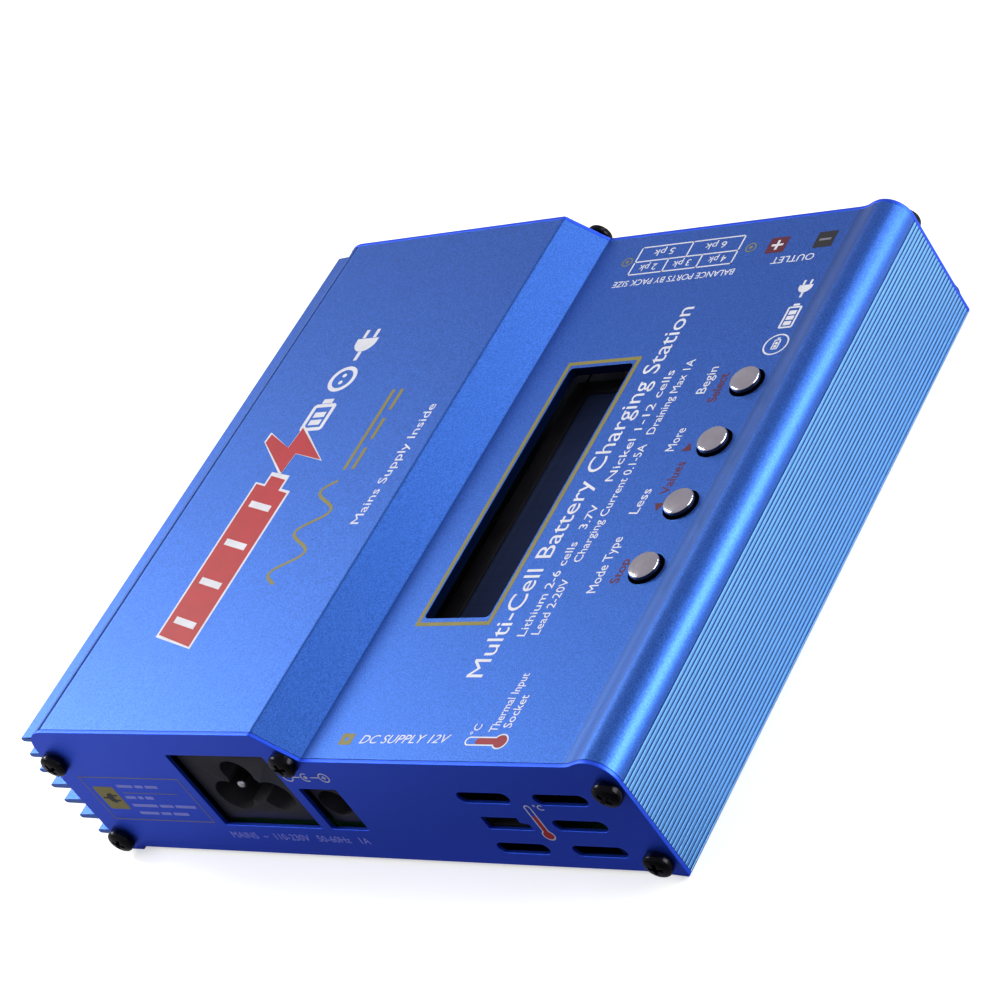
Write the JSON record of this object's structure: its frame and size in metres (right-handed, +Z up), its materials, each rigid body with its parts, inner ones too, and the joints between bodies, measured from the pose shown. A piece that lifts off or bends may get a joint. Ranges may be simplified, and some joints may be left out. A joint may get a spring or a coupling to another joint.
{
  "type": "balance battery charger",
  "caption": "Low, flat battery charger in a blue aluminium case with a finned back, ribbed front, display window, push buttons, mains inlet, output and balance sockets.",
  "frame": {"origin": "middle of the footprint, on the surface the feet stand on", "axes": "+Z up; +Y from the ribbed front to the finned back; +X from the mains-inlet end to the output end"},
  "size_m": [0.142, 0.1488, 0.036],
  "materials": {
    "blue_anodised": "sand-blasted and anodised blue, fine speckle, satin",
    "black_screw": "black-plated steel, glossy",
    "polished_nickel": "polished nickel plate",
    "black_plastic": "moulded black plastic, satin",
    "white_plastic": "moulded off-white plastic",
    "red_plastic": "moulded red plastic, glossy",
    "green_board": "glass-fibre board with green solder mask",
    "display_glass": "dark display glass, unlit",
    "backlight": "white light guide",
    "brass": "turned brass",
    "ferrite": "dark grey sintered ferrite",
    "copper_winding": "enamelled copper wire",
    "capacitor_sleeve": "dark shrink sleeve",
    "bare_aluminium": "bare aluminium",
    "fuse_glass": "clear glass tube with plated caps",
    "insulation": "amber insulating film"
  },
  "bodies": {
    "case": {"top_cover": "blue_anodised", "base_tray": "blue_anodised", "left_end_panel": "blue_anodised", "right_end_panel": "blue_anodised", "screw_left_rear_upper": "black_screw", "screw_left_rear_lower": "black_screw", "screw_left_slope": "black_screw", "screw_left_front_upper": "black_screw", "screw_left_front_lower": "black_screw", "screw_right_rear_upper": "black_screw", "screw_right_rear_lower": "black_screw", "screw_right_slope": "black_screw", "screw_right_front_upper": "black_screw", "screw_right_front_lower": "black_screw", "mains_pin_earth": "polished_nickel", "mains_pin_live": "polished_nickel", "mains_pin_neutral": "polished_nickel", "dc_jack_pin": "polished_nickel", "switch_stop": "black_plastic", "switch_decrease": "black_plastic", "switch_increase": "black_plastic", "switch_start": "black_plastic", "display_bezel": "black_plastic", "display_header": "black_plastic", "mains_inlet": "black_plastic", "dc_jack": "black_plastic", "temperature_socket": "black_plastic", "output_socket_negative": "black_plastic", "fan_frame": "black_plastic", "power_transistor": "black_plastic", "microcontroller": "black_plastic", "buzzer": "black_plastic", "output_socket_positive": "red_plastic", "balance_socket_2_cell": "white_plastic", "balance_socket_3_cell": "white_plastic", "balance_socket_4_cell": "white_plastic", "balance_socket_5_cell": "white_plastic", "balance_socket_6_cell": "white_plastic", "display_board": "green_board", "control_board": "green_board", "power_board": "green_board", "balance_board": "green_board", "display_glass": "display_glass", "display_backlight": "backlight", "output_contact_positive": "brass", "output_contact_negative": "brass", "transformer_core": "ferrite", "transformer_coil": "copper_winding", "filter_choke": "copper_winding", "output_inductor": "copper_winding", "bulk_capacitor": "capacitor_sleeve", "heat_spreader": "bare_aluminium", "mains_fuse": "fuse_glass", "insulating_sheet": "insulation"},
    "button_stop": {"button_stop": "polished_nickel"},
    "button_decrease": {"button_decrease": "polished_nickel"},
    "button_increase": {"button_increase": "polished_nickel"},
    "button_start": {"button_start": "polished_nickel"},
    "fan_rotor": {"fan_rotor": "black_plastic"}
  },
  "joints": [
    {"name": "press_stop", "type": "slide", "parent": "case", "child": "button_stop", "axis": [0, 0, -1], "range_m": [0, 0.0005], "stiffness_N_per_m": 3000},
    {"name": "press_decrease", "type": "slide", "parent": "case", "child": "button_decrease", "axis": [0, 0, -1], "range_m": [0, 0.0005], "stiffness_N_per_m": 3000},
    {"name": "press_increase", "type": "slide", "parent": "case", "child": "button_increase", "axis": [0, 0, -1], "range_m": [0, 0.0005], "stiffness_N_per_m": 3000},
    {"name": "press_start", "type": "slide", "parent": "case", "child": "button_start", "axis": [0, 0, -1], "range_m": [0, 0.0005], "stiffness_N_per_m": 3000},
    {"name": "fan_spin", "type": "hinge", "parent": "case", "child": "fan_rotor", "pos_m": [-0.0547, -0.04975, 0.0132], "axis": [1, 0, 0], "continuous": true}
  ]
}
